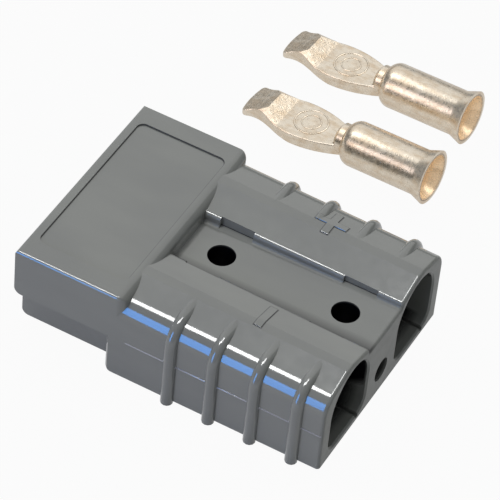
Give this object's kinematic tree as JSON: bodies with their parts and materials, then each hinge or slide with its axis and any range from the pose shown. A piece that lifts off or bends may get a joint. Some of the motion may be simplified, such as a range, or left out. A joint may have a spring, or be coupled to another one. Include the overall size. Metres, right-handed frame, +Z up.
{
  "type": "genderless power connector",
  "caption": "Genderless power connector: a ribbed housing with a hood over a tongue, leaf springs in its cavities and loose crimp contacts beside it.",
  "frame": {"origin": "midway between the two mounting holes, on the housing's flat base", "axes": "+X along the housing from the mating end to the wire end, +Y across it towards the loose contacts, +Z up from the base"},
  "size_m": [0.0478, 0.0739, 0.0152],
  "materials": {
    "housing_plastic": "satin moulded plastic",
    "silver_plate": "silver-plated copper, slightly mottled",
    "spring_steel": "rolled stainless strip"
  },
  "bodies": {
    "root": {"housing": "housing_plastic", "contact_near": "silver_plate", "contact_far": "silver_plate", "spring_near": "spring_steel", "spring_far": "spring_steel"}
  },
  "joints": []
}
